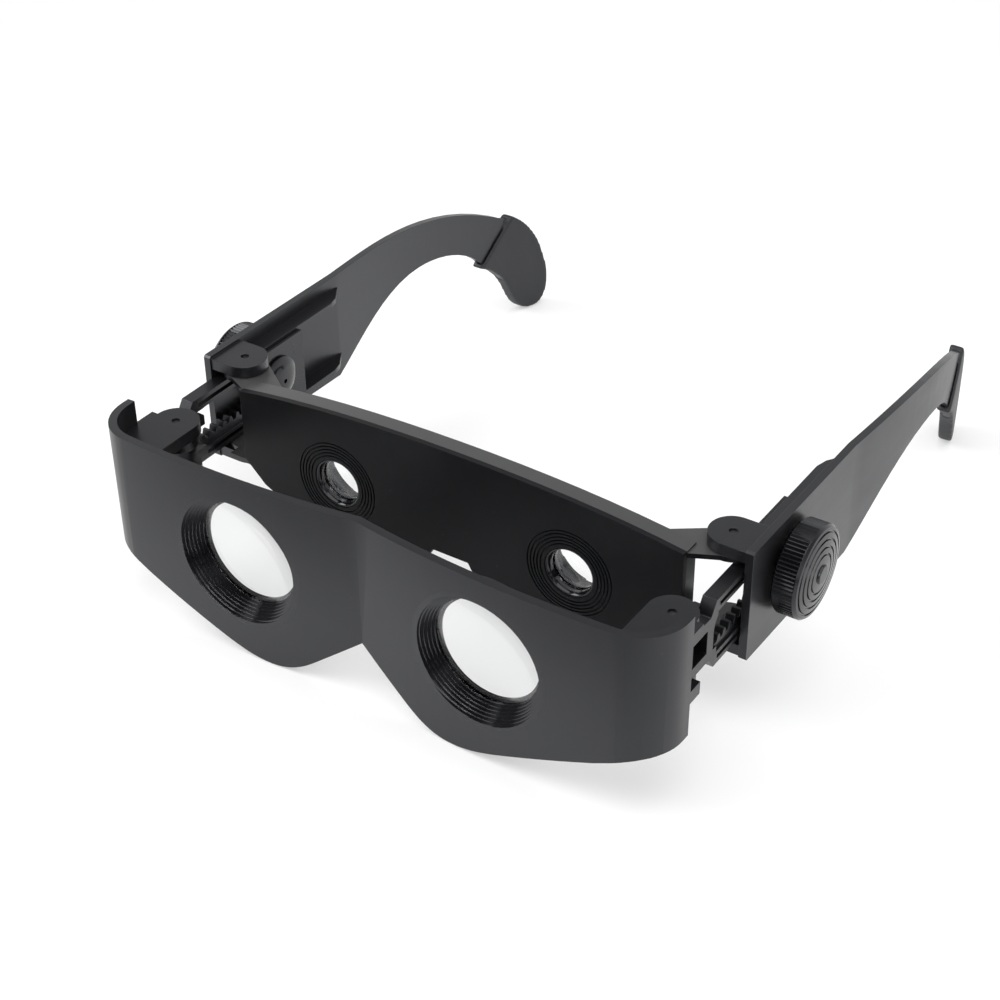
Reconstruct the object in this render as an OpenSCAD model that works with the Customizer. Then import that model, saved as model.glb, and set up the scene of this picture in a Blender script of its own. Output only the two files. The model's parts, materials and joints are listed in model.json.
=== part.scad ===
// Binocular glasses: a two-lens front frame on telescoping rack links, a rear eyepiece frame and folding temples.
// Millimetres. X runs across the face (+X is the wearer's left), +Y towards the ears, +Z up from the table.

/* [View] */
// Piece to draw

/* [Optics] */
// Distance between the two optical axes
lens_spacing = 64; // [60:0.5:68]
// Height of the optical axes above the table
optic_z = 25.7; // [25:0.1:27]
// Radius of the widest step of the front lens opening
bore_r = 15.9; // [14.5:0.1:16.4]
// Depth of one step of the stepped opening
step_depth = 0.75; // [0.6:0.05:0.8]
// Number of steps in the opening
step_count = 6; // [4:1:6]
// Wall of the front lens cell
cell_wall = 1.3; // [1:0.1:1.6]
// Radius of the front lens
lens_r = 13.9; // [12.5:0.1:14]
// Rim thickness of the front lens
lens_rim = 1.2; // [0.8:0.1:1.6]
// Height of the front lens's rear curve
lens_crown = 1.6; // [0.8:0.1:2]
// Radius of the opening in the retaining ring
ring_open_r = 12.4; // [11:0.1:12.8]
// Radius of the eyepiece lens
ocular_r = 6.4; // [5.8:0.1:6.8]
// Radius of the clear eyepiece opening
ocular_open_r = 5.5; // [4.5:0.1:5.6]
// Wall of the eyecup barrel
barrel_wall = 1.1; // [0.8:0.1:1.4]
// How far the eyecup stands behind the rear frame
eyecup_out = 2.6; // [1.5:0.1:3]
// Number of fine grooves round each eyepiece opening
groove_count = 5; // [3:1:6]
// Distance from one of these grooves to the next
groove_pitch = 0.85; // [0.7:0.05:0.9]

/* [Front frame] */
// Forward reach of the front face at its fullest point
face_y = 89; // [88:0.2:91]
// Sideways place of the fullest point of each half
face_full_x = 40; // [36:1:44]
// Radius of each half's gentle curve
face_curve_r = 251; // [200:5:320]
// How far the side walls stand outside the hinges
front_out = 8.3; // [7.8:0.1:9.3]
// Outer radius where the face turns into the side wall
corner_r = 12; // [9:0.5:13]
// Wall thickness of the front frame
front_wall = 2; // [1.6:0.1:2.2]
// Rear edge of the side walls, in front of the origin
side_wall_y = 73.9; // [73.6:0.1:75]
// Height of the front frame's upper edge at the middle
front_top_z = 47.6; // [46.5:0.1:49]
// Height of the side wall's lower edge
side_low_z = 15.4; // [14:0.1:17]
// Height of the notch over the nose
notch_z = 14.8; // [12:0.1:16]
// Thickness of the ribs between the lens cells
rib_t = 1.2; // [0.8:0.1:1.6]
// Height of those ribs above and below the optical axes
rib_offset = 6.5; // [4:0.5:8]

/* [Rear frame] */
// Forward face of the rear frame, in front of the origin
plate_y = 52; // [51.6:0.1:52.6]
// Thickness of the front cover plate of the rear frame
cover_t = 1.4; // [1:0.1:1.8]
// Depth of the moulded rear frame behind its cover plate
frame_depth = 4; // [3.6:0.1:4]
// How far the ends of the rear frame lie inside the hinges
frame_in = 6.2; // [6:0.1:7.2]
// Height of the rear frame's upper edge at the middle
frame_top_z = 46; // [45:0.1:47]
// Height of the rear frame's upper edge at its ends
frame_end_z = 42; // [41.8:0.1:42.5]
// Height of the flat top of the nose arch
nose_top_z = 25; // [23:0.1:27]
// Half width of the flat top of the nose arch
nose_top_half = 5.5; // [4.5:0.1:6.5]
// Half width of the nose arch at its foot
nose_foot_half = 14.5; // [13:0.1:15.5]
// Height of the top of the front plate's nose opening
plate_nose_z = 17.5; // [16.5:0.1:18.5]
// Half width of the front plate's nose opening at its top
plate_nose_half = 4.9; // [4.4:0.1:5.4]
// Rearward reach of the nose pads
pad_depth = 4; // [2.5:0.1:4]
// Thickness of the nose pads
pad_t = 1.5; // [1.2:0.1:1.8]
// Thickness of the hinge arms of the rear frame
arm_t = 1.25; // [1:0.05:1.25]

/* [Hinges] */
// Half distance between the temple hinges
hinge_half = 66.2; // [66.2:0.1:66.6]
// Temple hinge axis, in front of the origin
hinge_y = 42.1; // [42.1:0.1:42.4]
// Distance from the temple hinge forward to the front frame's hinge
link_gap = 25.7; // [24:0.1:25.7]
// Height of the middle of the rack and hinges
mech_z = 30.9; // [30.7:0.1:31.1]
// Radius of the round temple ears
ear_r = 5.5; // [5:0.1:5.5]
// Thickness of a temple ear
ear_t = 2.8; // [2.2:0.1:2.8]
// Radius of the round front ears
front_ear_r = 5.6; // [5:0.1:5.6]
// Thickness of a front ear
front_ear_t = 3.2; // [2.6:0.1:3.2]
// Radius of the hinge pins
pin_r = 1; // [0.8:0.05:1.2]
// How far a pin lies below the face of its ear
pin_recess = 0.6; // [0.3:0.1:1]

/* [Temples] */
// How far the temple plate's outer face stands outside its hinge
temple_out = 7.9; // [7.8:0.1:8.3]
// Thickness of the temple plate
temple_t = 1.9; // [1.6:0.1:2]
// Front edge of the temple plate, ahead of its hinge
temple_lead = 5.9; // [5.7:0.1:6]
// Height of the temple's upper edge at the front
temple_top_z = 45.3; // [45.2:0.1:46]
// Height of the temple's lower edge at the front
temple_low_z = 16.7; // [16:0.1:16.8]
// Where the plate ends and the arm starts, behind the origin
kink_y = 1; // [0:0.1:4]
// How far the tip's end lies inside the plate's outer face
tip_inset = 8.8; // [7.5:0.1:9.5]
// Thickness of the inner rails
rail_t = 1.4; // [1:0.1:1.8]
// Thickness of the soft tip
tip_t = 3.4; // [3:0.1:3.6]

/* [Focus drive] */
// Knob axis behind the temple hinge
knob_back = 12.4; // [12:0.1:12.6]
// Knob axis above the middle of the rack
knob_rise = 0.8; // [0.8:0.1:1]
// Outer radius of the knob
knob_r = 11; // [9.5:0.1:11.5]
// Thickness of the knob
knob_t = 7.4; // [6:0.1:8]
// Gap between knob and temple plate
knob_gap = 0.8; // [0.4:0.1:1.2]
// Height of the crown of the knob's face
knob_crown = 1.1; // [0.6:0.1:1.3]
// Number of fine grooves in the knob's face
face_grooves = 4; // [2:1:4]
// Number of grip grooves around the knob
grip_count = 72; // [40:2:80]
// Depth of a grip groove
grip_depth = 0.42; // [0.3:0.02:0.5]
// Gear module of rack and pinion
gear_module = 0.8; // [0.78:0.01:0.8]
// Teeth on the pinion
pinion_teeth = 9; // [9:1:9]
// Thickness of the toothed web of the rack
web_t = 2.2; // [1.8:0.1:2.4]
// Half height of the wide part of the rack
rack_half = 8.8; // [8.6:0.05:8.8]
// Half height of the narrow part of the rack
neck_half = 5.6; // [5.4:0.05:5.6]
// Length of the slope from the wide part to the narrow one
shoulder = 2.2; // [1.5:0.1:2.4]
// Width of the rack's flanges
flange_w = 3.4; // [3.2:0.1:3.8]
// Thickness of the rack's outer flanges
flange_t = 1.2; // [1:0.05:1.4]
// Height of the long slots inside the flanges
slot_h = 1.1; // [0.8:0.05:1.2]
// Radius of the shaft that carries knob and pinion
shaft_r = 1.9; // [1.6:0.05:2]
// Radius of the domed end of the shaft
dome_r = 6; // [5:0.1:6.2]
// Thickness of the cover that keeps the rack in
retainer_t = 1.2; // [1:0.1:1.4]

/* [Clearances] */
// Gap between pieces that slide or swing past each other
gap = 0.3; // [0.25:0.05:0.35]
// Radial clearance of a pin or shaft that turns in its hole
run_fit = 0.06; // [0.03:0.01:0.09]
// Radial clearance of a piece that is fixed in its hole
seat_fit = 0.02; // [0:0.01:0.03]

/* [Hidden] */
$fn = 64;
eps = 0.01;
optic_x = lens_spacing / 2;
front_half = hinge_half + front_out;
frame_half = hinge_half - frame_in;
temple_half = hinge_half + temple_out;
face_centre_y = -face_y + face_curve_r;
corner_x = front_half - corner_r;
corner_y = face_centre_y - sqrt(pow(face_curve_r - corner_r, 2) - pow(corner_x - face_full_x, 2));
ring_r = bore_r - 0.5;
cell_r = bore_r + cell_wall;
lens_seat_y = -face_y + step_count * step_depth + 0.4;
cell_end_y = lens_seat_y + 2.5;
lens_lip_r = lens_r - 0.7;
frame_front_y = -plate_y + cover_t;
frame_rear_y = frame_front_y + frame_depth;
link_y = -hinge_y - link_gap;
barrel_r = ocular_r + barrel_wall;
front_ear_z = rack_half + gap;
front_ear_low = front_ear_z - front_ear_t;
arm_z = front_ear_z + gap;
ear_z = arm_z + arm_t + 0.25;
temple_in = temple_half - temple_t;
temple_front_y = -hinge_y - temple_lead;
rail_start_y = -hinge_y + ear_r + 1.6;
rail_z = rack_half + gap;
knob_y = -hinge_y + knob_back;
knob_z = mech_z + knob_rise;
knob_in = temple_half + knob_gap;
pitch_r = gear_module * pinion_teeth / 2;
tooth_pitch = PI * gear_module;
rack_tip = 0.45;
rack_root = 1;
pinion_tip = 0.8;
pinion_root = 0.75;
pinion_out_r = pitch_r + pinion_tip;
pitch_z = knob_z - pitch_r;
rack_out = temple_in - gap;
rack_in = rack_out - flange_w;
web_out = rack_out - 0.6;
travel = link_gap - temple_lead - gap;
window_r = pinion_out_r + gap;
window_front_y = knob_y - link_gap + gap;
neck_y = link_y + 8.6;
rack_rear_y = knob_y + window_r + 1.6;
rack_front_y = link_y - 5;
rail_in = rack_in - gap;
retainer_out = rail_in - seat_fit;
retainer_in = retainer_out - retainer_t;
retainer_start_y = rail_start_y + 2;
retainer_end_y = knob_y + window_r + 5.5;

// Points of a cubic curve from a to d, without its first point
function curve(a, b, c, d, n = 10) = [for (i = [1 : n]) let (t = i / n, s = 1 - t)
    s * s * s * a + 3 * s * s * t * b + 3 * s * t * t * c + t * t * t * d];

// Points of an arc about c from angle a0 to a1, both ends included
function arc(c, r, a0, a1, n) = [for (i = [0 : n]) let (a = a0 + (a1 - a0) * i / n) c + r * [cos(a), sin(a)]];

// Both sides of an outline given for +X only, from the middle outwards and back
function both_sides(p) = concat(p, [for (i = [len(p) - 1 : -1 : 0]) [-p[i][0], p[i][1]]]);

module on_side(left) {
    if (left) children();
    else mirror([1, 0, 0]) children();
}

// A profile drawn as (x, z), given depth from y0 back to y1
module across(y0, y1) {
    translate([0, y1, 0]) rotate([90, 0, 0]) linear_extrude(y1 - y0) children();
}

// A profile drawn as (y, z), given thickness from x0 out to x1
module along(x0, x1) {
    translate([x0, 0, 0]) rotate([90, 0, 90]) linear_extrude(x1 - x0) children();
}

// A round bar along +Y
module rod_y(x, z, r, y0, y1) {
    translate([x, y0, z]) rotate([-90, 0, 0]) cylinder(r = r, h = y1 - y0);
}

// A round bar along +X
module rod_x(y, z, r, x0, x1) {
    translate([x0, y, z]) rotate([0, 90, 0]) cylinder(r = r, h = x1 - x0);
}

// A turned shape drawn as (radius, distance along +Y)
module turned_y(x, z) {
    translate([x, 0, z]) rotate([-90, 0, 0]) rotate_extrude($fn = 72) children();
}

// The same module for the upper and the lower half of the hinges
module above_and_below() {
    children();
    translate([0, 0, 2 * mech_z]) mirror([0, 0, 1]) children();
}

module block(x0, x1, y0, y1, z0, z1) {
    translate([x0, y0, z0]) cube([x1 - x0, y1 - y0, z1 - z0]);
}

// Front frame

// Everything behind the face and inside the side wall, set in by inset
module plan_fill(inset, rear_y) {
    turn = asin((corner_x - face_full_x) / (face_curve_r - corner_r));
    half = concat([[0, rear_y]],
        arc([face_full_x, face_centre_y], face_curve_r - inset,
            -90 - asin(face_full_x / (face_curve_r - inset)), -90 + turn, 16),
        arc([corner_x, corner_y], corner_r - inset, -83 + turn, 0, 11),
        [[front_half - inset, rear_y]]);
    translate([0, 0, -5]) linear_extrude(60) polygon(half);
}

module front_outline() {
    half = concat(
        [[0, notch_z], [12.5, 4.9]],
        curve([12.5, 4.9], [16, 2.1], [19.5, 0], [24.5, 0]),
        curve([24.5, 0], [28.5, 0], [32, 1], [37, 2.8]),
        curve([58, 10.6], [63, 12.5], [67, side_low_z - 0.4], [73, side_low_z], 6),
        [[front_half + 1, side_low_z], [front_half + 1, front_top_z - 1.3]],
        curve([front_half + 1, front_top_z - 1.3], [50, front_top_z], [25, front_top_z], [0, front_top_z], 8));
    polygon(half);
}

module front_ear() {
    intersection() {
        plan_fill(front_wall / 2, link_y);
        block(hinge_half - front_ear_r, front_half, -face_y, link_y,
            mech_z + front_ear_low, mech_z + front_ear_z);
    }
    translate([hinge_half, link_y, mech_z + front_ear_low]) cylinder(r = front_ear_r, h = front_ear_t);
}

module lens_cell() {
    intersection() {
        rod_y(optic_x, optic_z, cell_r, -face_y, cell_end_y);
        union() {
            plan_fill(front_wall / 2, cell_end_y + 1);
            block(optic_x - cell_r, optic_x + cell_r, -face_y + 4, cell_end_y, 0, 50);
        }
    }
}

module lens_opening() {
    step_w = (bore_r - lens_lip_r) / step_count;
    stairs = [for (i = [0 : step_count - 1], end = [0, 1])
        [bore_r - i * step_w, i + end == 0 ? -face_y - 1 : -face_y + (i + end) * step_depth]];
    turned_y(optic_x, optic_z) polygon(concat([[0, -face_y - 1]], stairs,
        [[lens_lip_r, -face_y + step_count * step_depth], [lens_lip_r, lens_seat_y],
        [lens_r + seat_fit, lens_seat_y], [lens_r + seat_fit, cell_end_y + 1], [0, cell_end_y + 1]]));
}

module cell_ribs() {
    intersection() {
        plan_fill(front_wall / 2, cell_end_y + 0.2);
        for (z = [optic_z - rib_offset, optic_z + rib_offset])
            block(0, optic_x - bore_r + 1, -face_y, cell_end_y, z - rib_t / 2, z + rib_t / 2);
    }
}

module front_half() {
    difference() {
        union() {
            intersection() {
                difference() {
                    plan_fill(0, -side_wall_y);
                    plan_fill(front_wall, -side_wall_y + 5);
                }
                across(-100, -50) front_outline();
            }
            lens_cell();
            cell_ribs();
            above_and_below() front_ear();
        }
        lens_opening();
        translate([hinge_half, link_y, 0]) cylinder(r = pin_r + seat_fit, h = 60, $fn = 32);
    }
}

module objective_frame() color([0.13, 0.13, 0.14]) {
    on_side(true) front_half();
    on_side(false) front_half();
}

module objective_lens(left) color([0.85, 0.9, 0.92, 0.4]) on_side(left) {
    crown_r = (pow(lens_r, 2) + pow(lens_crown, 2)) / (2 * lens_crown);
    rear_y = lens_seat_y + lens_rim;
    intersection() {
        rod_y(optic_x, optic_z, lens_r, lens_seat_y, rear_y + lens_crown + 1);
        translate([optic_x, rear_y + lens_crown - crown_r, optic_z]) rotate([-90, 0, 0])
            sphere(r = crown_r, $fn = 160);
    }
}

module objective_ring(left) color([0.06, 0.06, 0.06]) on_side(left) {
    spigot_y = lens_seat_y + lens_rim + 0.4;
    turned_y(optic_x, optic_z) polygon([
        [ring_open_r, spigot_y], [lens_r, spigot_y], [lens_r, cell_end_y],
        [ring_r, cell_end_y], [ring_r, cell_end_y + 0.5], [ring_r - 0.5, cell_end_y + 0.9],
        [ring_open_r + 1.3, cell_end_y + 0.9], [ring_open_r, cell_end_y]]);
}

module link_pins(left) color([0.3, 0.3, 0.31]) on_side(left) above_and_below()
    translate([hinge_half, link_y, mech_z + front_ear_low])
        cylinder(r = pin_r, h = front_ear_t - pin_recess, $fn = 32);

// Rear frame

function rear_edge() = curve([nose_foot_half, 10.2], [18, 7.4], [31, 7], [44, 11.8]);

module rear_outline(nose) {
    half = concat(nose,
        [[54.5, 17.2], [frame_half, 22.7], [frame_half, frame_end_z]],
        curve([frame_half, frame_end_z], [42, frame_top_z - 1.2], [22, frame_top_z], [0, frame_top_z], 8));
    polygon(both_sides(half));
}

// Outline of the moulded frame with its wide nose arch
module frame_outline() {
    rear_outline(concat(
        [[0, nose_top_z], [nose_top_half, nose_top_z], [nose_foot_half, 10.2]], rear_edge()));
}

// Outline of the front plate, which reaches lower over the nose
module plate_outline() {
    top = [plate_nose_half, plate_nose_z];
    rear_outline(concat([[0, plate_nose_z], top], curve(top, [7.2, 12.8], [11.5, 8.4], [20.5, 7.9]),
        [for (p = rear_edge()) if (p[0] > 22) p]));
}

// The upper hinge arm runs from the frame's end round the hinge
module upper_arm() {
    start = [52.5 - hinge_half, frame_rear_y + 1.6 + hinge_y];
    slope = asin(ear_r / norm(start)) + atan2(-start[1], -start[0]);
    translate([hinge_half, -hinge_y, mech_z + arm_z]) linear_extrude(arm_t)
        polygon(concat([start, [-14, frame_front_y + hinge_y],
            [frame_half - hinge_half, frame_front_y + hinge_y]],
            arc([0, 0], ear_r, -90, 90 + slope, 24)));
}

module lower_arm() {
    z0 = mech_z - arm_z - arm_t;
    translate([hinge_half, -hinge_y, z0]) cylinder(r = ear_r, h = arm_t);
    block(frame_half - 4.5, hinge_half, frame_front_y, frame_rear_y + 0.8, z0, z0 + arm_t);
}

// A half-moon pad along one side of the nose arch
module nose_pad() {
    lean = atan2(nose_top_z - 10.2, nose_foot_half - nose_top_half);
    side = norm([nose_top_z - 10.2, nose_foot_half - nose_top_half]);
    moon_r = (pow(side * 0.42, 2) + pow(pad_depth, 2)) / (2 * pad_depth);
    translate([nose_foot_half, frame_rear_y, 10.2]) rotate([0, lean - 90, 0]) translate([0.1, 0, 0])
        intersection() {
            block(0, pad_t, -1, pad_depth, 0, side);
            translate([0, pad_depth - moon_r, side * 0.46]) rotate([0, 90, 0])
                cylinder(r = moon_r, h = pad_t, $fn = 96);
        }
}

module eyepiece_frame() color([0.14, 0.14, 0.15]) {
    difference() {
        union() {
            across(frame_front_y, frame_rear_y) frame_outline();
            for (left = [true, false]) on_side(left) {
                upper_arm();
                lower_arm();
                nose_pad();
            }
        }
        for (left = [true, false]) on_side(left) {
            rod_y(optic_x, optic_z, barrel_r + seat_fit, frame_front_y - 1, frame_rear_y + 1);
            translate([hinge_half, -hinge_y, 0]) cylinder(r = pin_r + run_fit, h = 60, $fn = 32);
        }
        on_side(false) block(optic_x + 6.5, optic_x + 19.5, frame_rear_y - 1.5, frame_rear_y + 1,
            optic_z + 7.4, optic_z + 9.4);
    }
}

module eyepiece_front_plate() color([0.12, 0.12, 0.13]) {
    difference() {
        across(-plate_y, frame_front_y) plate_outline();
        for (left = [true, false]) on_side(left) {
            rod_y(optic_x, optic_z, ocular_r + seat_fit, -plate_y - 1, frame_front_y + 1);
            for (i = [0 : groove_count - 1])
                turned_y(optic_x, optic_z) translate([ocular_r + 0.9 + i * groove_pitch, -plate_y - 0.6])
                    square([0.35, 1]);
        }
    }
}

module eyecup(left) color([0.1, 0.1, 0.1]) on_side(left) {
    shoulder_y = frame_front_y + 2.4;
    tube_r = barrel_r + 1.3;
    end_y = frame_rear_y + eyecup_out;
    turned_y(optic_x, optic_z) polygon([
        [ocular_r + seat_fit, frame_front_y], [barrel_r, frame_front_y], [barrel_r, frame_rear_y],
        [tube_r + 0.5, frame_rear_y], [tube_r + 0.5, frame_rear_y + 0.8], [tube_r, frame_rear_y + 0.8],
        [tube_r, end_y], [tube_r - 0.9, end_y], [ocular_open_r, shoulder_y + 0.6],
        [ocular_open_r, shoulder_y], [ocular_r + seat_fit, shoulder_y]]);
}

module eyepiece_lens(left) color([0.85, 0.9, 0.92, 0.4]) on_side(left) {
    y0 = frame_front_y + 0.6;
    dish_r = 14;
    difference() {
        rod_y(optic_x, optic_z, ocular_r, y0, y0 + 1.8);
        translate([optic_x, y0 + 0.5 - dish_r, optic_z]) rotate([-90, 0, 0]) sphere(r = dish_r, $fn = 120);
    }
}

module eyepiece_ring(left) color([0.05, 0.05, 0.05]) on_side(left)
    turned_y(optic_x, optic_z) polygon([
        [ocular_open_r, -plate_y + 0.9], [ocular_open_r + 0.4, -plate_y + 0.2], [ocular_r, -plate_y + 0.2],
        [ocular_r, frame_front_y + 0.6], [ocular_open_r, frame_front_y + 0.6]]);

// Temples

// The side of the temple from its front edge to the hidden end of its arm
module temple_outline() {
    low_z = temple_low_z - 1.3;
    kink_z = temple_top_z - 0.3;
    polygon(concat(
        [[temple_front_y, temple_low_z + 0.5], [temple_front_y + 0.5, temple_low_z], [kink_y, low_z]],
        curve([kink_y, low_z], [11.5, 20.5], [23.5, 30.1], [39.4, 30.1]),
        curve([39.4, 30.1], [48.5, 30.1], [59, 27.5], [65, 20.6]),
        curve([65, 20.6], [73.5, 14.5], [75, 8.5], [78.5, 5], 6),
        curve([78.5, 5], [84, 2], [88, 8], [84.6, 17], 8),
        curve([84.6, 17], [83, 23], [80.5, 27.5], [75.4, 30.6], 6),
        curve([75.4, 30.6], [50.4, 45.6], [23.4, 44.5], [kink_y, kink_z], 14),
        [[temple_front_y + 0.5, temple_top_z], [temple_front_y, temple_top_z - 0.5]]));
}

module tip_outline() {
    polygon(concat(
        [[64.4, 19.5], [76.1, 31.7]],
        curve([76.1, 31.7], [80.6, 28.9], [84.8, 24.6], [87.1, 16.9], 8),
        curve([87.1, 16.9], [88.1, 13.6], [face_y, 11.5], [face_y, 8], 6),
        curve([face_y, 8], [face_y, 3], [86.9, 0], [84, 0], 8),
        curve([84, 0], [78, 0], [77.2, 5.5], [74.4, 10.5], 8),
        curve([74.4, 10.5], [72.4, 14.2], [69, 17.6], [64.4, 19.5], 6)));
}

// A plate that follows the temple from above: straight to the kink, then bowed and turned inwards
module temple_plan(x0, x1) {
    bow = concat([[0, kink_y]], curve([0, kink_y], [1.9, 28.4], [3.4, 53.4], [-tip_inset, 90], 18));
    linear_extrude(50) polygon(concat([[x0, temple_front_y - 1], [x1, temple_front_y - 1]],
        [for (p = bow) [x1 + p[0], p[1]]],
        [for (i = [len(bow) - 1 : -1 : 0]) [x0 + bow[i][0], bow[i][1]]]));
}

module temple_side(grow = 0) {
    intersection() {
        temple_plan(temple_in - grow, temple_half + grow);
        along(temple_in - 2 * tip_inset, temple_half + 6) temple_outline();
    }
}

module temple_ear() {
    root_x = temple_in - hinge_half + 0.5;
    translate([hinge_half, -hinge_y, mech_z + ear_z]) linear_extrude(ear_t)
        polygon(concat(arc([0, 0], ear_r, 90, 270, 24), [[root_x, -ear_r], [root_x, ear_r]]));
}

// Rail above the rack, tapering out behind it
module temple_rail() {
    translate([0, 0, mech_z + rail_z]) linear_extrude(rail_t)
        polygon([[temple_in + 0.5, rail_start_y], [rail_in, rail_start_y], [rail_in, kink_y - 7],
            [rail_in + 0.8, kink_y - 4], [temple_in, kink_y + 1], [temple_in + 0.5, kink_y + 1]]);
}

module temple(left) color([0.15, 0.15, 0.16]) on_side(left) {
    difference() {
        union() {
            temple_side();
            above_and_below() {
                temple_ear();
                temple_rail();
            }
        }
        translate([hinge_half, -hinge_y, 0]) cylinder(r = pin_r + seat_fit, h = 60, $fn = 32);
        rod_x(knob_y, knob_z, shaft_r + 0.6 + run_fit, temple_in - 1, temple_half + 1);
    }
}

module temple_tip(left) color([0.07, 0.07, 0.07]) on_side(left) {
    mid = temple_half - temple_t / 2;
    difference() {
        intersection() {
            temple_plan(mid - tip_t / 2, mid + tip_t / 2);
            along(temple_in - 2 * tip_inset, temple_half + 6) tip_outline();
        }
        temple_side(seat_fit);
    }
}

// Cover that lies on both rails, keeps the rack in and carries the inner end of the pinion
module rack_retainer(left) color([0.1, 0.1, 0.1]) on_side(left) {
    top_z = mech_z + rail_z + rail_t / 2;
    low_z = mech_z - rail_z - rail_t;
    difference() {
        along(retainer_in, retainer_out) polygon(concat(
            [[retainer_start_y, top_z], [retainer_start_y, low_z]],
            arc([retainer_end_y - 2, low_z + 2], 2, -90, 0, 8), [[retainer_end_y, top_z]]));
        rod_x(knob_y, knob_z, shaft_r + run_fit, retainer_in - 1, retainer_out + 1);
    }
}

module hinge_pins(left) color([0.3, 0.3, 0.31]) on_side(left) above_and_below()
    translate([hinge_half, -hinge_y, mech_z + arm_z])
        cylinder(r = pin_r, h = ear_z + ear_t - arm_z - pin_recess, $fn = 32);

// Focus drive

// Place of the knob's crowned face along its axis, at radius r
function knob_face(r) = knob_in + knob_t - 0.4 - knob_crown * pow(r / knob_r, 2);

module focus_knob(left) color([0.08, 0.08, 0.08]) on_side(left) {
    disc_r = 2.3;
    groove_step = (knob_r - 1.2 - disc_r - 0.9) / face_grooves;
    grooves = [for (i = [0 : face_grooves - 1]) let (r = knob_r - 1.2 - i * groove_step)
        each [[r, knob_face(r)], [r - 0.1, knob_face(r) - 0.3], [r - 0.45, knob_face(r) - 0.3],
            [r - 0.55, knob_face(r - 0.55)]]];
    difference() {
        translate([0, knob_y, knob_z]) rotate([0, 90, 0]) rotate_extrude($fn = 90) polygon(concat(
            [[shaft_r + 0.6 + seat_fit, knob_in], [knob_r - 0.6, knob_in], [knob_r, knob_in + 0.6],
            [knob_r, knob_face(knob_r) - 0.5], [knob_r - 0.5, knob_face(knob_r - 0.5)]], grooves,
            [[disc_r, knob_face(disc_r)], [disc_r - 0.1, knob_in + knob_t - 0.1],
            [disc_r - 0.3, knob_in + knob_t], [0, knob_in + knob_t],
            [0, knob_in + 2.4], [shaft_r + 0.6 + seat_fit, knob_in + 2.4]]));
        for (i = [0 : grip_count - 1])
            translate([0, knob_y, knob_z]) rotate([i * 360 / grip_count, 0, 0])
                translate([knob_in - 1, 0, knob_r + 0.2]) rotate([45, 0, 0])
                    translate([0, -grip_depth, -grip_depth]) cube([knob_t - 1.2, 2 * grip_depth, 2 * grip_depth]);
    }
}

// Involute of the pinion's base circle, from the base circle to radius r
function involute(base_r, r) = let (a = sqrt(pow(r / base_r, 2) - 1)) a * 180 / PI - atan(a);

module pinion_profile() {
    base_r = pitch_r * cos(20);
    half_tooth = 360 / pinion_teeth / 4 - 0.125 / pitch_r * 180 / PI + involute(base_r, pitch_r);
    flank = [for (i = [0 : 4]) let (r = base_r + (pinion_out_r - base_r) * i / 4)
        [r, half_tooth - involute(base_r, r)]];
    foot_r = pitch_r - pinion_root;
    tooth = concat([[foot_r, -half_tooth]], [for (p = flank) [p[0], -p[1]]],
        [for (i = [4 : -1 : 0]) flank[i]], [[foot_r, half_tooth]]);
    circle(r = foot_r + 0.05, $fn = 36);
    for (k = [0 : pinion_teeth - 1])
        rotate(k * 360 / pinion_teeth) polygon(concat([[0, 0]],
            [for (p = tooth) p[0] * [cos(p[1]), sin(p[1])]]));
}

module pinion(left) color([0.09, 0.09, 0.09]) on_side(left) {
    web_in = web_out - web_t;
    translate([web_in, knob_y, knob_z]) rotate([90, 0, 90]) rotate(-90) linear_extrude(web_t) pinion_profile();
    rod_x(knob_y, knob_z, shaft_r, retainer_in - 0.3, web_in + eps);
    rod_x(knob_y, knob_z, shaft_r + 0.6, web_out - eps, knob_in + 2.4);
}

module pinion_cap(left) color([0.05, 0.05, 0.05]) on_side(left)
    translate([retainer_in - 0.3, knob_y, knob_z]) rotate([0, -90, 0]) rotate_extrude($fn = 72)
        polygon(concat([[0, 0], [dome_r, 0], [dome_r, 0.4]],
            curve([dome_r, 0.4], [dome_r - 1, 1.3], [2.8, 1.9], [0.6, 1.95], 8), [[0.6, 0.9], [0, 0.9]]));

// Rack

module rack_teeth() {
    base_z = pitch_z - rack_root;
    tip_half = tooth_pitch / 4 - 0.125 - rack_tip * tan(20);
    foot_half = tooth_pitch / 4 - 0.125 + rack_root * tan(20);
    first = ceil((window_front_y - 3 - knob_y) / tooth_pitch);
    along(web_out - web_t, web_out) intersection() {
        union() {
            for (k = [first : 1])
                translate([knob_y + (k + 0.5) * tooth_pitch, 0])
                    polygon([[-foot_half, base_z - 0.1], [foot_half, base_z - 0.1],
                        [tip_half, pitch_z + rack_tip], [-tip_half, pitch_z + rack_tip]]);
        }
        translate([window_front_y - 3.4, 0]) square([travel + 6.8, 60]);
    }
}

// Clear way for the pinion, as long as the travel
module rack_window() {
    along(rack_in - 1, rack_out + 1) polygon(concat(
        arc([knob_y, knob_z], window_r, 0, 90, 8),
        arc([window_front_y, knob_z], window_r, 90, 180, 8),
        [[window_front_y - window_r, pitch_z - rack_root], [knob_y + window_r, pitch_z - rack_root]]));
}

module rack_knuckle() {
    z0 = mech_z + neck_half - 2.6;
    translate([hinge_half, link_y, z0]) cylinder(r = 5, h = 2.6);
    block(hinge_half, rack_out, rack_front_y, neck_y + 1, z0, z0 + 2.6);
}

// Slope from the wide part of the rack down to its neck
module rack_shoulder() {
    along(rack_in, rack_out) polygon([[neck_y - shoulder, mech_z + neck_half - 0.5],
        [neck_y - shoulder, mech_z + neck_half], [neck_y, mech_z + rack_half],
        [neck_y + 0.4, mech_z + rack_half], [neck_y + 0.4, mech_z + neck_half - 0.5]]);
}

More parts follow.
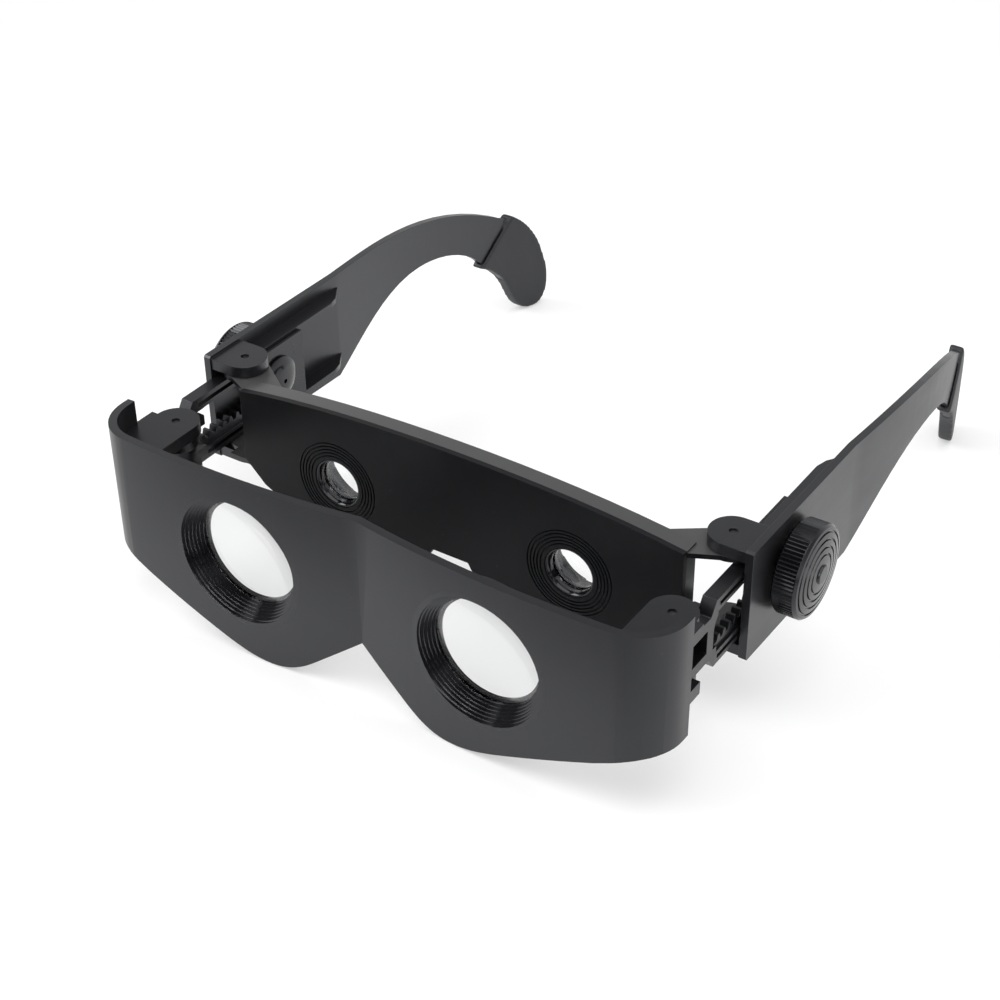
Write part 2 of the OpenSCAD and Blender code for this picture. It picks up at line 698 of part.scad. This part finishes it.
module rack(left) color([0.11, 0.11, 0.12]) on_side(left) {
    slot_z = rack_half - flange_t - slot_h;
    difference() {
        union() {
            block(web_out - web_t, web_out, neck_y, rack_rear_y, mech_z - rack_half, mech_z + rack_half);
            block(rack_in, rack_out, neck_y, rack_rear_y, mech_z + slot_z - 1.1, mech_z + rack_half);
            block(rack_in, rack_out, neck_y, rack_rear_y, mech_z - rack_half, mech_z - slot_z + 1.1);
            block(rack_in, rack_out, neck_y - 3.4, neck_y + 0.4, mech_z - neck_half, mech_z + neck_half);
            above_and_below() {
                rack_knuckle();
                rack_shoulder();
            }
        }
        above_and_below()
            block(rack_in - 1, rack_out + 1, neck_y + 1.6, rack_rear_y - 1.6, mech_z + slot_z,
                mech_z + slot_z + slot_h);
        rack_window();
        for (turn = [-1, 1])
            translate([rack_in - 0.5, neck_y - 1.4, mech_z]) rotate([turn * 36, 0, 0])
                translate([0, -0.5, -2.6]) cube([1.6, 1, 5.2]);
        translate([hinge_half, link_y, 0]) cylinder(r = pin_r + run_fit, h = 60, $fn = 32);
    }
    rack_teeth();
}

eyepiece_frame();
eyepiece_front_plate();
eyecup(true);  // left_eyecup
eyecup(false);  // right_eyecup
eyepiece_lens(true);  // left_eyepiece_lens
eyepiece_lens(false);  // right_eyepiece_lens
eyepiece_ring(true);  // left_eyepiece_ring
eyepiece_ring(false);  // right_eyepiece_ring
objective_frame();
objective_lens(true);  // left_objective_lens
objective_lens(false);  // right_objective_lens
objective_ring(true);  // left_objective_ring
objective_ring(false);  // right_objective_ring
link_pins(true);  // left_link_pins
link_pins(false);  // right_link_pins
temple(true);  // left_temple
temple(false);  // right_temple
temple_tip(true);  // left_temple_tip
temple_tip(false);  // right_temple_tip
rack_retainer(true);  // left_rack_retainer
rack_retainer(false);  // right_rack_retainer
hinge_pins(true);  // left_hinge_pins
hinge_pins(false);  // right_hinge_pins
focus_knob(true);  // left_focus_knob
focus_knob(false);  // right_focus_knob
pinion(true);  // left_pinion
pinion(false);  // right_pinion
pinion_cap(true);  // left_pinion_cap
pinion_cap(false);  // right_pinion_cap
rack(true);  // left_rack
rack(false);  // right_rack
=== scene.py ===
import json
import math

import bpy
from mathutils import Matrix, Vector

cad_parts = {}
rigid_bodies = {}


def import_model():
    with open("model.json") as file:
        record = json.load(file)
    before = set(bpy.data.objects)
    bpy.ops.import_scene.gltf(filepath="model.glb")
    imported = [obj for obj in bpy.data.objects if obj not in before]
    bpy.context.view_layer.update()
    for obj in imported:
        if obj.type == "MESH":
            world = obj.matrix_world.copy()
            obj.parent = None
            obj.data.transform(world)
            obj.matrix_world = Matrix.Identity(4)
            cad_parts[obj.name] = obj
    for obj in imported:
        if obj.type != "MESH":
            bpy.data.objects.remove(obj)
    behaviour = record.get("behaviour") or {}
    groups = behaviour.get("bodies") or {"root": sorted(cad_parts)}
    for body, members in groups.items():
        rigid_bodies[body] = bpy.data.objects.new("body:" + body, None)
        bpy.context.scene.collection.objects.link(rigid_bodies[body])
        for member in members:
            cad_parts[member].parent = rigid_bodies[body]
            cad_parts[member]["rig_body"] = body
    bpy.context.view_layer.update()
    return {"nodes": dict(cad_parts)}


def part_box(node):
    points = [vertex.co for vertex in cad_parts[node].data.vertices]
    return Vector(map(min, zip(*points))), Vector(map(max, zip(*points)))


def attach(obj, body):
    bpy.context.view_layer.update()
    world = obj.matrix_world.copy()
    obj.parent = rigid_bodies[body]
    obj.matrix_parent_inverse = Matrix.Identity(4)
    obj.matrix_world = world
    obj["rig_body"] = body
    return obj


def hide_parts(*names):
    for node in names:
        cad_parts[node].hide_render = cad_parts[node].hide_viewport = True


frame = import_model()
nodes = frame["nodes"]
bpy.ops.object.select_all(action="DESELECT")
print("frame loaded,", len(nodes), "nodes")


# Small helpers that lay out the material nodes

def addNode(tree, kind, inputs=None, **settings):
    node = tree.nodes.new(kind)
    for key, value in settings.items():
        setattr(node, key, value)
    for key, value in (inputs or {}).items():
        if isinstance(value, bpy.types.NodeSocket):
            tree.links.new(value, node.inputs[key])
        else:
            node.inputs[key].default_value = value
    return node


def mathNode(tree, operation, a, b=0.0):
    return addNode(tree, "ShaderNodeMath", {0: a, 1: b}, operation=operation).outputs[0]


def mixColour(tree, factor, a, b):
    return addNode(tree, "ShaderNodeMix", {0: factor, 6: a, 7: b}, data_type="RGBA").outputs[2]


def mixValue(tree, factor, a, b):
    return addNode(tree, "ShaderNodeMix", {0: factor, 2: a, 3: b}).outputs[0]


def spread(tree, value, low, high, toLow, toHigh):
    return addNode(tree, "ShaderNodeMapRange", {0: value, 1: low, 2: high, 3: toLow, 4: toHigh}).outputs[0]


def noise(tree, place, size, detail, roughness):
    inputs = {"Vector": place, "Scale": 1 / size, "Detail": detail, "Roughness": roughness}
    return addNode(tree, "ShaderNodeTexNoise", inputs).outputs["Fac"]


def newMaterial(name):
    material = bpy.data.materials.new(name)
    material.use_nodes = True
    tree = material.node_tree
    tree.nodes.clear()
    return material, tree, addNode(tree, "ShaderNodeOutputMaterial")


# 1 inside a lens opening, 0 outside it, so that the turned steps there can be glossier than the face
def boreMask(tree, place, bore):
    axes = addNode(tree, "ShaderNodeSeparateXYZ", {0: place}).outputs
    side = mathNode(tree, "SUBTRACT", mathNode(tree, "ABSOLUTE", axes["X"]), bore["x"])
    rise = mathNode(tree, "SUBTRACT", axes["Z"], bore["z"])
    sideSquare = mathNode(tree, "MULTIPLY", side, side)
    square = mathNode(tree, "ADD", sideSquare, mathNode(tree, "MULTIPLY", rise, rise))
    distance = mathNode(tree, "SQRT", square)
    return spread(tree, distance, bore["radius"] - bore["edge"], bore["radius"] + bore["edge"], 1.0, 0.0)


# Moulded plastic: cloudy tone, faint flow lines, fine mould grain, a few specks of dust,
# and where the look asks for them a painted sheen that lightens upward faces, and glossier lens openings
def mouldedPlastic(name, look):
    material, tree, out = newMaterial(name)
    place = addNode(tree, "ShaderNodeTexCoord").outputs["Object"]
    cloud = noise(tree, place, look["cloudSize"], *look["cloudDetail"])
    grain = noise(tree, place, look["grainSize"], *look["grainDetail"])
    stretched = addNode(tree, "ShaderNodeMapping", {0: place, 3: look["flow"]}).outputs[0]
    streak = noise(tree, stretched, look["streakSize"], *look["streakDetail"])
    colour = mixColour(tree, spread(tree, cloud, *look["cloudBand"], 0.0, 1.0), look["dark"], look["light"])
    flowLines = spread(tree, streak, *look["streakBand"], 0.0, look["streakShare"])
    colour = mixColour(tree, flowLines, colour, look["light"])
    cells = addNode(tree, "ShaderNodeTexVoronoi", {"Vector": place, "Scale": 1 / look["speckGap"]})
    dust = spread(tree, cells.outputs["Distance"], *look["speckBand"], look["dust"], 0.0)
    colour = mixColour(tree, dust, colour, look["dustColour"])
    # painted light: upward faces are lightened towards the dust colour, a painted sheen standing in for the
    # sky's reflection on top faces
    if "topHaze" in look:
        facing = addNode(tree, "ShaderNodeNewGeometry").outputs["Normal"]
        upward = addNode(tree, "ShaderNodeSeparateXYZ", {0: facing}).outputs["Z"]
        paintedSheen = spread(tree, upward, *look["hazeBand"], 0.0, look["topHaze"])
        colour = mixColour(tree, paintedSheen, colour, look["dustColour"])
    swing = look["swing"]
    rough = spread(tree, cloud, *look["roughBand"], look["rough"] - swing, look["rough"] + swing)
    rough = mathNode(tree, "ADD", rough, spread(tree, streak, *look["roughStreakBand"], 0.0, swing))
    if "bore" in look:
        rough = mixValue(tree, boreMask(tree, place, look["bore"]), rough, look["bore"]["rough"])
    grainPart = mathNode(tree, "MULTIPLY", grain, look["grainShare"])
    streakPart = mathNode(tree, "MULTIPLY", streak, 1 - look["grainShare"])
    height = mathNode(tree, "ADD", grainPart, streakPart)
    inputs = {"Strength": look["bump"], "Distance": look["depth"], "Height": height}
    bump = addNode(tree, "ShaderNodeBump", inputs)
    inputs = {"Base Color": colour, "Roughness": rough, "Normal": bump.outputs[0], "IOR": look["ior"],
              "Specular Tint": look["sheen"]}
    shader = addNode(tree, "ShaderNodeBsdfPrincipled", inputs)
    tree.links.new(shader.outputs[0], out.inputs[0])
    return material


# Clear lens plastic with a trace of smears
def clearLens(name, look):
    material, tree, out = newMaterial(name)
    place = addNode(tree, "ShaderNodeTexCoord").outputs["Object"]
    smear = noise(tree, place, look["smearSize"], *look["smearDetail"])
    rough = spread(tree, smear, *look["smearBand"], 0.0, look["smearRough"])
    tint = mixColour(tree, spread(tree, smear, *look["tintBand"], 0.0, 1.0), look["tint"], look["tintEdge"])
    inputs = {"Base Color": tint, "Roughness": rough, "IOR": look["ior"], "Transmission Weight": 1.0}
    shader = addNode(tree, "ShaderNodeBsdfPrincipled", inputs)
    tree.links.new(shader.outputs[0], out.inputs[0])
    return material


# Finishes, from satin to glossy black: sizes in metres, a Detail is (detail, roughness) of a noise,
# and a Band holds the two values of a texture between which its effect goes from none to full
satin = {
    "dark": (0.0038, 0.0038, 0.0046, 1), "light": (0.0062, 0.0062, 0.0072, 1),
    "cloudSize": 0.022, "cloudDetail": (3.0, 0.55), "cloudBand": (0.3, 0.7),
    "grainSize": 0.00032, "grainDetail": (2.0, 0.6), "grainShare": 0.75,
    "flow": (1.0, 1.0, 0.25), "streakSize": 0.004, "streakDetail": (4.0, 0.6),
    "streakBand": (0.45, 0.75), "streakShare": 0.4,
    "rough": 0.30, "swing": 0.03, "roughBand": (0.25, 0.75), "roughStreakBand": (0.4, 0.7),
    "bump": 0.22, "depth": 0.00003, "ior": 1.54, "sheen": (0.93, 0.95, 1.0, 1),
    # the dust colour also serves as the colour of the painted sheen on upward faces
    "speckGap": 0.0065, "speckBand": (0.015, 0.035), "dust": 0.10, "dustColour": (0.22, 0.22, 0.22, 1),
}
boreSpot = {"x": 0.032, "z": 0.0257, "edge": 0.0001}
satinFront = dict(satin, bore=dict(boreSpot, radius=0.0168, rough=0.13))
# the rear frame gets the painted sheen, painted light that lightens its upward faces
satinRear = dict(satin, rough=0.29, topHaze=0.20, hazeBand=(0.80, 0.98),
                 bore=dict(boreSpot, radius=0.0090, rough=0.14))
satinTemple = dict(satin, flow=(1.0, 0.2, 1.0), rough=0.33, ior=1.60)
satinPlate = dict(satin, rough=0.40, ior=1.27, bump=0.20)
gloss = dict(satin, dark=(0.0030, 0.0030, 0.0035, 1), light=(0.0048, 0.0048, 0.0055, 1),
             cloudSize=0.012, grainSize=0.00030, flow=(1.0, 0.4, 1.0), rough=0.20, swing=0.025,
             bump=0.04, speckGap=0.005, dust=0.07)
knobBlack = dict(gloss, rough=0.19, bump=0.10)
slideBlack = dict(gloss, rough=0.30, bump=0.22)
softTip = dict(satin, dark=(0.0046, 0.0046, 0.0050, 1), light=(0.0080, 0.0080, 0.0086, 1),
               cloudSize=0.010, grainSize=0.00048, flow=(1.0, 1.0, 0.5), rough=0.46, swing=0.04,
               bump=0.50, dust=0.12)
pinBlack = dict(gloss, rough=0.28, dark=(0.020, 0.020, 0.021, 1), light=(0.034, 0.034, 0.035, 1))
lensLook = {"tint": (0.99, 0.995, 0.995, 1), "tintEdge": (0.975, 0.985, 0.985, 1), "tintBand": (0.3, 0.7),
            "ior": 1.49, "smearSize": 0.02, "smearDetail": (3.0, 0.6), "smearBand": (0.5, 0.8),
            "smearRough": 0.02}

finishes = {
    "objective_frame": mouldedPlastic("front_satin", satinFront),
    "eyepiece_frame": mouldedPlastic("rear_satin", satinRear),
    "eyepiece_front_plate": mouldedPlastic("plate_matt", satinPlate),
    "temple": mouldedPlastic("temple_satin", satinTemple),
    "temple_tip": mouldedPlastic("tip_soft", softTip),
    "rack_retainer": mouldedPlastic("cover_gloss", dict(gloss, rough=0.26)),
    "hinge_pins": mouldedPlastic("hinge_pin_black", pinBlack),
    "link_pins": mouldedPlastic("link_pin_black", pinBlack),
    "focus_knob": mouldedPlastic("knob_black", knobBlack),
    "pinion": mouldedPlastic("pinion_black", slideBlack),
    "pinion_cap": mouldedPlastic("dome_gloss", dict(gloss, rough=0.14)),
    "rack": mouldedPlastic("rack_black", slideBlack),
    "eyecup": mouldedPlastic("eyecup_gloss", dict(gloss, rough=0.22, bump=0.01)),
    "eyepiece_ring": mouldedPlastic("eyepiece_ring_gloss", dict(gloss, rough=0.12)),
    "objective_ring": mouldedPlastic("objective_ring_gloss", dict(gloss, rough=0.16)),
    "eyepiece_lens": clearLens("eyepiece_glass", dict(lensLook, smearSize=0.01)),
    "objective_lens": clearLens("objective_glass", lensLook),
}
print("finishes made:", len(finishes))


def plainName(node):
    return node.replace("left_", "").replace("right_", "")


# A new piece rides on its node's body, stands for the node and takes the node's finish and slot
def takePlace(piece, node):
    piece.data.materials.clear()
    piece.data.materials.append(finishes[plainName(node)])
    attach(piece, nodes[node]["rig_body"])
    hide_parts(node)
    piece.select_set(False)


roundSides = 96
mergeGap = 0.000001


# A copy of a node's mesh with its corner points merged, left in edit mode with everything selected
def mergedCopy(node, name):
    piece = bpy.data.objects.new(name, nodes[node].data.copy())
    bpy.context.scene.collection.objects.link(piece)
    bpy.ops.object.select_all(action="DESELECT")
    piece.select_set(True)
    bpy.context.view_layer.objects.active = piece
    bpy.ops.mesh.customdata_custom_splitnormals_clear()
    bpy.ops.object.mode_set(mode="EDIT")
    bpy.ops.mesh.select_all(action="SELECT")
    bpy.ops.mesh.remove_doubles(threshold=mergeGap)
    return piece


# Moulded pieces get the small edge radii that a mould leaves, in metres
edgeRadius = {"objective_frame": 0.00022, "eyepiece_frame": 0.00022, "eyepiece_front_plate": 0.00008,
              "temple": 0.00025, "rack_retainer": 0.00020, "focus_knob": 0.00010,
              "rack": 0.00012, "objective_ring": 0.00010, "pinion_cap": 0.00008}
edgeShape = {"flat": 0.05, "sharp": 32, "segments": 2, "smooth": 40, "weight": 100}


def softenEdges(node, radius, shape):
    piece = mergedCopy(node, node + "_moulded")
    bpy.ops.mesh.dissolve_limited(angle_limit=math.radians(shape["flat"]))
    bpy.ops.mesh.quads_convert_to_tris(ngon_method="BEAUTY")  # a bevelled n-gon would close the nose arch
    bpy.ops.object.mode_set(mode="OBJECT")
    bpy.ops.object.shade_smooth_by_angle(angle=math.radians(shape["sharp"]))
    bevel = piece.modifiers.new("edges", "BEVEL")
    bevel.width = radius
    bevel.segments = shape["segments"]
    bevel.limit_method = "ANGLE"
    bevel.angle_limit = math.radians(shape["sharp"])
    bevel.use_clamp_overlap = True
    bevel.miter_outer = "MITER_ARC"
    bpy.ops.object.modifier_apply(modifier="edges")
    bpy.ops.object.shade_smooth_by_angle(angle=math.radians(shape["smooth"]))
    weights = piece.modifiers.new("weights", "WEIGHTED_NORMAL")
    weights.weight = shape["weight"]
    weights.keep_sharp = True
    bpy.ops.object.modifier_apply(modifier="weights")
    takePlace(piece, node)


# Tips: soft rubber, so the whole outline is rounded on a fine grid and swells back to its size
tipShape = {"voxel": 0.00030, "rounding": 18, "strength": 0.5, "swell": 0.00022, "coreStart": 0.009}


def roundTip(node, shape):
    core = mergedCopy(node.replace("_tip", ""), node + "_core")  # the arm's end fills the socket
    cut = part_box(node)[0].y + shape["coreStart"]
    bpy.ops.mesh.bisect(plane_co=(0, cut, 0), plane_no=(0, 1, 0), use_fill=True, clear_inner=True)
    bpy.ops.object.mode_set(mode="OBJECT")
    piece = mergedCopy(node, node + "_soft")
    bpy.ops.object.mode_set(mode="OBJECT")
    core.select_set(True)
    bpy.ops.object.join()
    grid = piece.modifiers.new("grid", "REMESH")
    grid.mode = "VOXEL"
    grid.voxel_size = shape["voxel"]
    bpy.ops.object.modifier_apply(modifier="grid")
    relax = piece.modifiers.new("relax", "SMOOTH")
    relax.factor = shape["strength"]
    relax.iterations = shape["rounding"]
    bpy.ops.object.modifier_apply(modifier="relax")
    swell = piece.modifiers.new("swell", "DISPLACE")
    swell.strength = shape["swell"]
    swell.mid_level = 0
    bpy.ops.object.modifier_apply(modifier="swell")
    bpy.ops.object.shade_smooth()
    takePlace(piece, node)


# Lenses: a short disc whose one face is drawn in ring by ring, up to a crown or down to a dish
lensShape = {"objective_lens": {"side": 1, "rise": 0.0016, "reach": 1.0, "rings": 16},
             "eyepiece_lens": {"side": -1, "rise": -0.0005, "reach": 0.58, "rings": 12}}
lensEdge = {"facing": 0.9, "poleShare": 0.001, "sharp": 45, "bevel": 0.00012, "segments": 2, "smooth": 20}


# Height of a spherical crown or dish over its rim, at a distance from its axis
def sphereRise(rise, reach, distance):
    radius = (reach ** 2 + rise ** 2) / (2 * abs(rise))
    return math.copysign(math.sqrt(radius ** 2 - distance ** 2) - (radius - abs(rise)), rise)


def modelLens(node, shape, edge):
    low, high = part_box(node)
    centre = (low + high) / 2
    radius = (high.x - low.x) / 2
    crown = max(shape["rise"], 0)
    depth = high.y - low.y - crown
    spot = (centre.x, centre.y - shape["side"] * crown / 2, centre.z)
    bpy.ops.mesh.primitive_cylinder_add(vertices=roundSides, radius=radius, depth=depth, location=spot,
                                        rotation=(math.radians(90), 0, 0))
    piece = bpy.context.active_object
    piece.name = node + "_clear"
    bpy.ops.object.transform_apply(location=True, rotation=True, scale=True)
    mesh = piece.data
    bpy.ops.object.mode_set(mode="EDIT")
    bpy.ops.mesh.select_all(action="DESELECT")
    bpy.ops.object.mode_set(mode="OBJECT")
    for face in mesh.polygons:
        face.select = face.normal.y * shape["side"] > edge["facing"]
    bpy.ops.object.mode_set(mode="EDIT")
    reach = radius * shape["reach"]
    if reach < radius:
        bpy.ops.mesh.inset(thickness=radius - reach)
    before = 0.0
    for ring in range(1, shape["rings"]):
        rise = sphereRise(shape["rise"], reach, reach * (1 - ring / shape["rings"]))
        bpy.ops.mesh.inset(thickness=reach / shape["rings"], depth=rise - before)
        before = rise
    bpy.ops.mesh.merge(type="CENTER")
    bpy.ops.object.mode_set(mode="OBJECT")
    for point in mesh.vertices:
        if math.hypot(point.co.x - centre.x, point.co.z - centre.z) < radius * edge["poleShare"]:
            if point.co.y * shape["side"] > spot[1] * shape["side"]:
                point.co.y += shape["side"] * (shape["rise"] - before)
    bpy.ops.object.mode_set(mode="EDIT")
    bpy.ops.mesh.select_all(action="DESELECT")
    bpy.ops.mesh.edges_select_sharp(sharpness=math.radians(edge["sharp"]))
    bpy.ops.mesh.bevel(offset=edge["bevel"], segments=edge["segments"], affect="EDGES")
    bpy.ops.mesh.select_all(action="SELECT")
    bpy.ops.mesh.normals_make_consistent(inside=False)
    bpy.ops.object.mode_set(mode="OBJECT")
    bpy.ops.object.shade_smooth_by_angle(angle=math.radians(edge["smooth"]))
    takePlace(piece, node)


# Turned pieces: a profile of radius and height above the piece's front end, walked ring by ring
turnedShape = {
    "eyecup": [(0.00645, 0.0), (0.00750, 0.0), (0.00750, 0.0040), (0.00910, 0.0040),
               (0.00910, 0.0047), (0.00895, 0.0049), (0.00880, 0.00495), (0.00880, 0.0081),
               (0.00870, 0.0083), (0.00850, 0.0084), (0.00820, 0.0084), (0.00805, 0.0083),
               (0.00800, 0.0081), (0.00790, 0.0052), (0.00775, 0.0050), (0.00710, 0.00495),
               (0.00695, 0.0048), (0.00680, 0.0036), (0.00665, 0.0034), (0.00590, 0.00335),
               (0.00565, 0.0032), (0.00550, 0.0030), (0.00550, 0.0024), (0.00645, 0.0024)],
    "eyepiece_ring": [(0.00550, 0.0018), (0.00550, 0.00085), (0.00555, 0.00068), (0.00586, 0.00010),
                      (0.00596, 0.0), (0.00630, 0.0), (0.00640, 0.00010), (0.00640, 0.0018)],
}
turnedSmooth = 50


def turnPiece(node, profile):
    low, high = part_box(node)
    centre = (low + high) / 2
    radius, before = profile[0]
    spot = (centre.x, low.y + before, centre.z)
    bpy.ops.mesh.primitive_circle_add(vertices=roundSides, radius=radius, location=spot,
                                      rotation=(math.radians(90), 0, 0))
    piece = bpy.context.active_object
    piece.name = node + "_turned"
    bpy.ops.object.transform_apply(location=True, rotation=True, scale=True)
    bpy.ops.object.mode_set(mode="EDIT")
    bpy.ops.mesh.select_all(action="SELECT")
    for reach, height in profile[1:] + profile[:1]:
        bpy.ops.mesh.extrude_region_move(TRANSFORM_OT_translate={"value": (0, height - before, 0)})
        bpy.ops.transform.resize(value=(reach / radius, 1, reach / radius),
                                 center_override=(centre.x, low.y + height, centre.z))
        radius, before = reach, height
    bpy.ops.mesh.select_all(action="SELECT")
    bpy.ops.mesh.remove_doubles(threshold=mergeGap)
    bpy.ops.mesh.normals_make_consistent(inside=False)
    bpy.ops.object.mode_set(mode="OBJECT")
    bpy.ops.object.shade_smooth_by_angle(angle=math.radians(turnedSmooth))
    takePlace(piece, node)


# Every node gets its new piece, or keeps its own mesh with a new finish
for node in sorted(nodes):
    plain = plainName(node)
    if plain in edgeRadius:
        softenEdges(node, edgeRadius[plain], edgeShape)
    elif plain == "temple_tip":
        roundTip(node, tipShape)
    elif plain in turnedShape:
        turnPiece(node, turnedShape[plain])
    elif plain in lensShape:
        modelLens(node, lensShape[plain], lensEdge)
    else:
        nodes[node].data.materials.clear()
        nodes[node].data.materials.append(finishes[plain])
print("pieces dressed:", len(nodes))


# Pale floor that keeps the shadow under the part and turns pure white away from it, also where a
# gloss mirrors it, but there it is dimmer in front of the part
floorLook = {"colour": (0.88, 0.88, 0.88, 1), "radius": 3.0, "level": -0.0003, "seenWhite": (0.13, 0.40),
             "lift": 0.40, "mirroredWhite": (0.10, 0.14), "frontDim": (-0.17, -0.115, 0.40)}

bpy.ops.mesh.primitive_circle_add(vertices=roundSides, radius=floorLook["radius"], fill_type="NGON",
                                  location=(0, 0, floorLook["level"]))
floor = bpy.context.active_object
floor.name = "floor"
floorMaterial, tree, out = newMaterial("floor_white")
place = addNode(tree, "ShaderNodeTexCoord").outputs["Object"]
away = addNode(tree, "ShaderNodeVectorMath", {0: place}, operation="LENGTH").outputs["Value"]
diffuse = addNode(tree, "ShaderNodeBsdfDiffuse", {"Color": floorLook["colour"]}).outputs[0]
rays = addNode(tree, "ShaderNodeLightPath").outputs
ahead = addNode(tree, "ShaderNodeSeparateXYZ", {0: place}).outputs["Y"]
farY, nearY, dimmed = floorLook["frontDim"]
dim = mixValue(tree, rays["Is Glossy Ray"], 1.0, spread(tree, ahead, farY, nearY, dimmed, 1.0))
white = addNode(tree, "ShaderNodeEmission", {"Color": (1, 1, 1, 1), "Strength": dim}).outputs[0]
fade = spread(tree, away, *floorLook["seenWhite"], floorLook["lift"], 1.0)
straight = mathNode(tree, "MAXIMUM", rays["Is Camera Ray"], rays["Is Transmission Ray"])
seen = mathNode(tree, "MULTIPLY", straight, fade)
fade = spread(tree, away, *floorLook["mirroredWhite"], 0.0, 1.0)
mirrored = mathNode(tree, "MULTIPLY", rays["Is Glossy Ray"], fade)
share = mathNode(tree, "MAXIMUM", seen, mirrored)
mixed = addNode(tree, "ShaderNodeMixShader", {0: share, 1: diffuse, 2: white}).outputs[0]
tree.links.new(mixed, out.inputs[0])
floor.data.materials.append(floorMaterial)

# White studio: full white behind the part, a sky that darkens upwards in reflections, soft fill elsewhere
skyLook = {"fill": 0.60, "horizon": 1.0, "zenith": 0.18, "bend": (0.25, 0.75)}

world = bpy.data.worlds.new("studio")
bpy.context.scene.world = world
world.use_nodes = True
tree = world.node_tree
tree.nodes.clear()
rays = addNode(tree, "ShaderNodeLightPath").outputs
direction = addNode(tree, "ShaderNodeTexCoord").outputs["Generated"]
height = addNode(tree, "ShaderNodeSeparateXYZ", {0: direction}).outputs["Z"]
mirrorSky = spread(tree, height, *skyLook["bend"], skyLook["horizon"], skyLook["zenith"])
strength = mixValue(tree, rays["Is Glossy Ray"], skyLook["fill"], mirrorSky)
seen = mathNode(tree, "MAXIMUM", rays["Is Camera Ray"], rays["Is Transmission Ray"])
strength = mixValue(tree, seen, strength, 1.0)
background = addNode(tree, "ShaderNodeBackground", {"Color": (1, 1, 1, 1), "Strength": strength}).outputs[0]
tree.links.new(background, addNode(tree, "ShaderNodeOutputWorld").inputs[0])


# Soft boxes that all point at the origin, with their power in watts
softBoxes = {
    "overheadBox": {"spot": (0.20, -0.05, 1.05), "size": (1.4, 1.2), "power": 9.0},
    "frontBox": {"spot": (0.50, -0.80, 0.50), "size": (0.6, 0.5), "power": 2.4},
    "leftBox": {"spot": (-0.80, -0.48, 0.72), "size": (0.7, 0.6), "power": 7.0},
}

for name, box in softBoxes.items():
    lamp = bpy.data.objects.new(name, bpy.data.lights.new(name, "AREA"))
    lamp.data.shape = "RECTANGLE"
    lamp.data.size, lamp.data.size_y = box["size"]
    lamp.data.energy = box["power"]
    lamp.location = box["spot"]
    lamp.rotation_euler = (-Vector(box["spot"])).to_track_quat("-Z", "Y").to_euler()
    bpy.context.scene.collection.objects.link(lamp)

# Camera where the photographer stood
shot = {"spot": (0.20995, -0.34422, 0.28368), "aim": (-0.01489, -0.00897, 0.00240), "roll": -0.567,
        "lens": 70.1, "sensor": 36, "near": 0.01}

camera = bpy.data.objects.new("camera", bpy.data.cameras.new("camera"))
bpy.context.scene.collection.objects.link(camera)
look = (Vector(shot["aim"]) - Vector(shot["spot"])).to_track_quat("-Z", "Y").to_matrix().to_4x4()
roll = Matrix.Rotation(math.radians(shot["roll"]), 4, "Z")
camera.matrix_world = Matrix.Translation(Vector(shot["spot"])) @ look @ roll
camera.data.lens = shot["lens"]
camera.data.sensor_width = shot["sensor"]
camera.data.clip_start = shot["near"]
bpy.context.scene.camera = camera
bpy.context.scene.view_settings.view_transform = "Standard"
print("floor, light and camera set")
